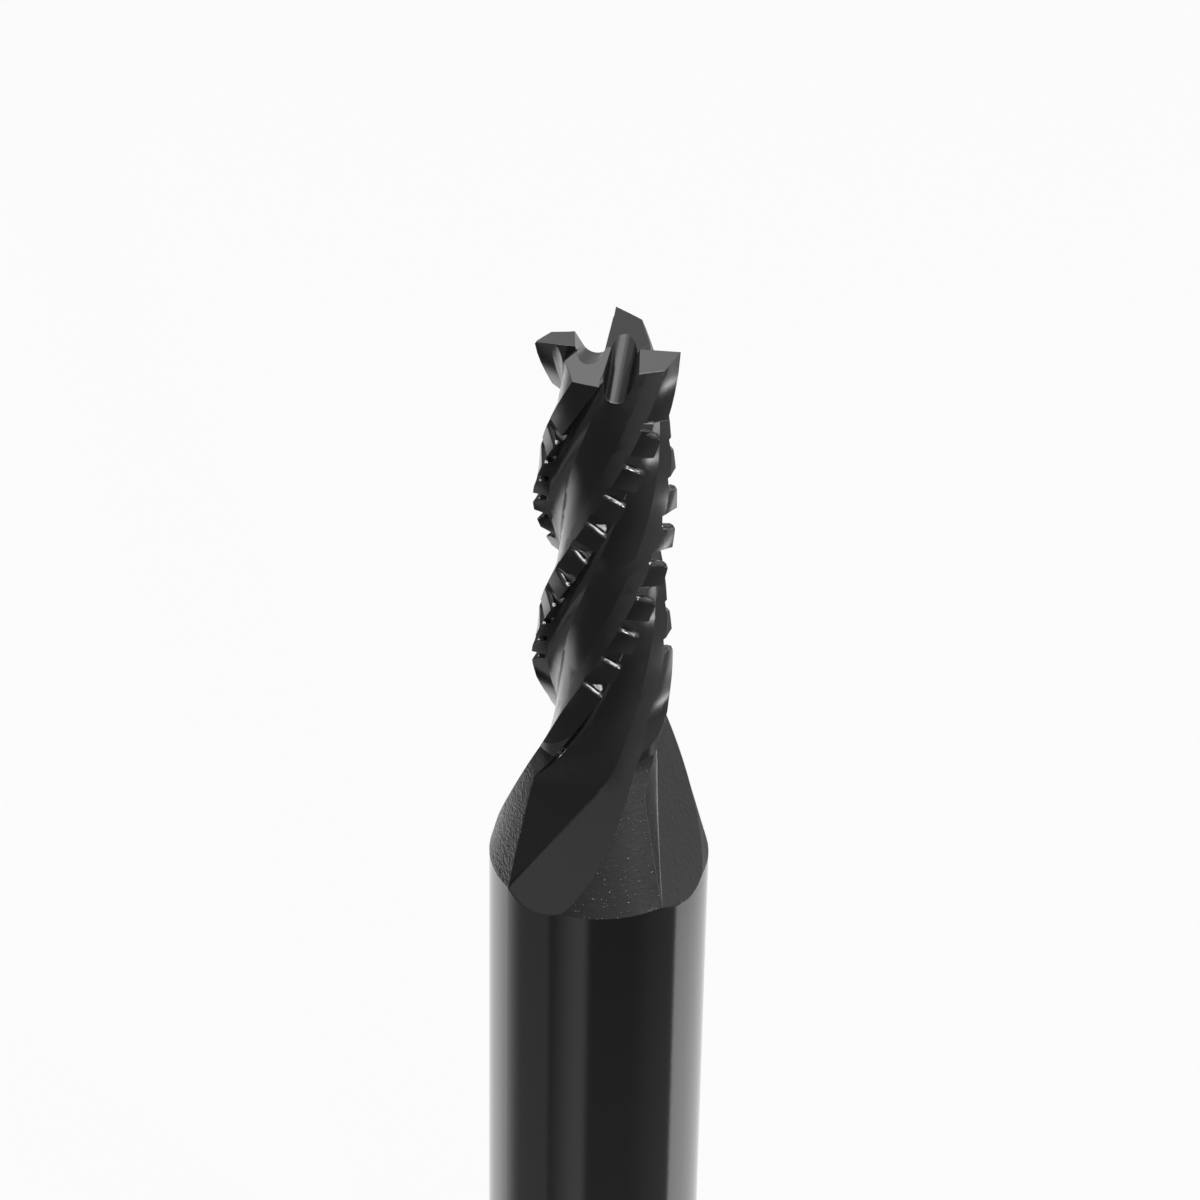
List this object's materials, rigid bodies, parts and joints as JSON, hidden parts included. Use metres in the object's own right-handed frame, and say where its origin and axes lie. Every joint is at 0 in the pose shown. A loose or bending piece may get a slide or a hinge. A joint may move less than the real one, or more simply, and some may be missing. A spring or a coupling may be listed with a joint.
{
  "type": "roughing end mill",
  "caption": "Coated roughing end mill with a stout round shank, a cone neck, four helical flutes and stepped chip breakers along each land.",
  "frame": {"origin": "centre of the shank's flat back face", "axes": "+Z along the tool's axis, from the shank towards the end teeth; +X close to the first tooth"},
  "size_m": [0.008, 0.008, 0.06],
  "materials": {
    "coated_steel": "glossy black coating"
  },
  "bodies": {
    "root": {"end_mill": "coated_steel"}
  },
  "joints": []
}
